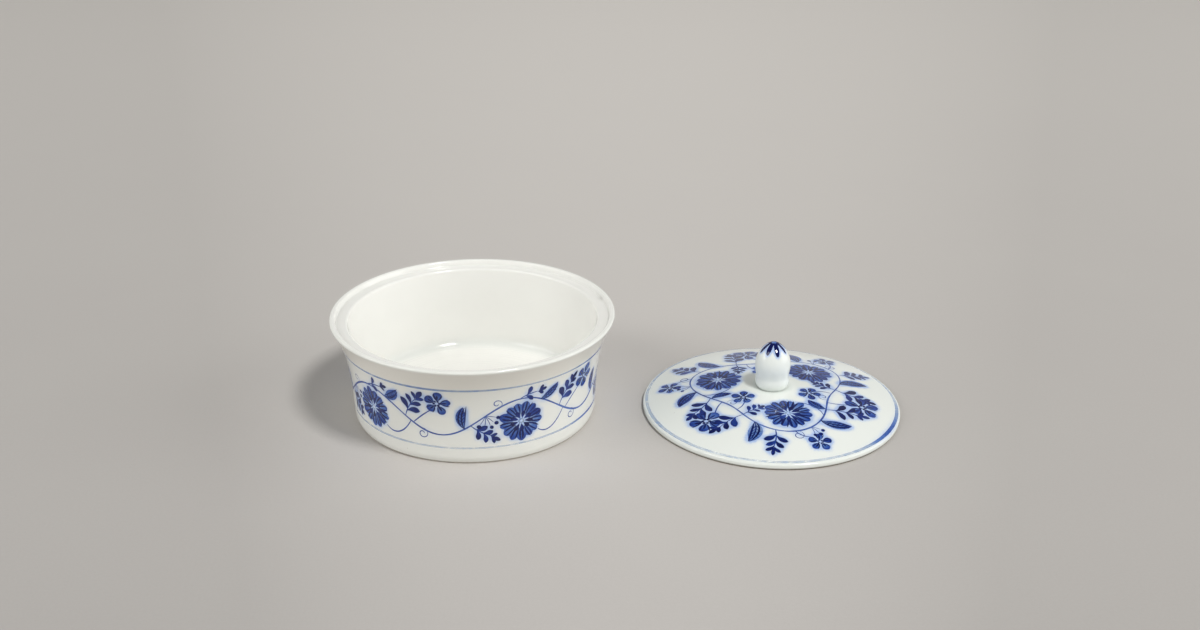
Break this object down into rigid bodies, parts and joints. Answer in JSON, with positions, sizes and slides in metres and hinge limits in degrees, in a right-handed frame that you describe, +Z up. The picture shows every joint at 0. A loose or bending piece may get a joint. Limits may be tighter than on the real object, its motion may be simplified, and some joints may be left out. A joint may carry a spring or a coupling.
{
  "type": "seal paste box",
  "caption": "Round porcelain seal paste box with a flared wall, a foot ring and a stepped rim, and a shallow domed drop-in lid with a bud knob lying beside it, painted in blue under the glaze.",
  "frame": {"origin": "on the table, midway along the length of the pair: the box's foot centre lies 61.67 mm away along -X and the lid's centre 66.33 mm away along +X", "axes": "+X from the box to the lid that lies beside it, +Z up, and the picture looks along +Y"},
  "size_m": [0.2434, 0.12, 0.0452],
  "materials": {
    "box_glaze": "clear gloss glaze over warm white porcelain, ivory inside the well, bare clay on the foot ring",
    "lid_glaze": "clear gloss glaze over warm white porcelain, bare clay on the seat ring underneath",
    "knob_glaze": "clear gloss glaze over white porcelain, with blue brush strokes around the tip",
    "cobalt_underglaze": "hand-brushed cobalt blue under the same gloss glaze"
  },
  "bodies": {
    "box": {"box_body": "box_glaze"},
    "lid": {"lid_plate": "lid_glaze", "lid_knob": "knob_glaze"}
  },
  "joints": [
    {"name": "lid_lift", "type": "slide", "parent": "box", "child": "lid", "axis": [0, 0, 1], "range_m": [0, 0.08]}
  ]
}
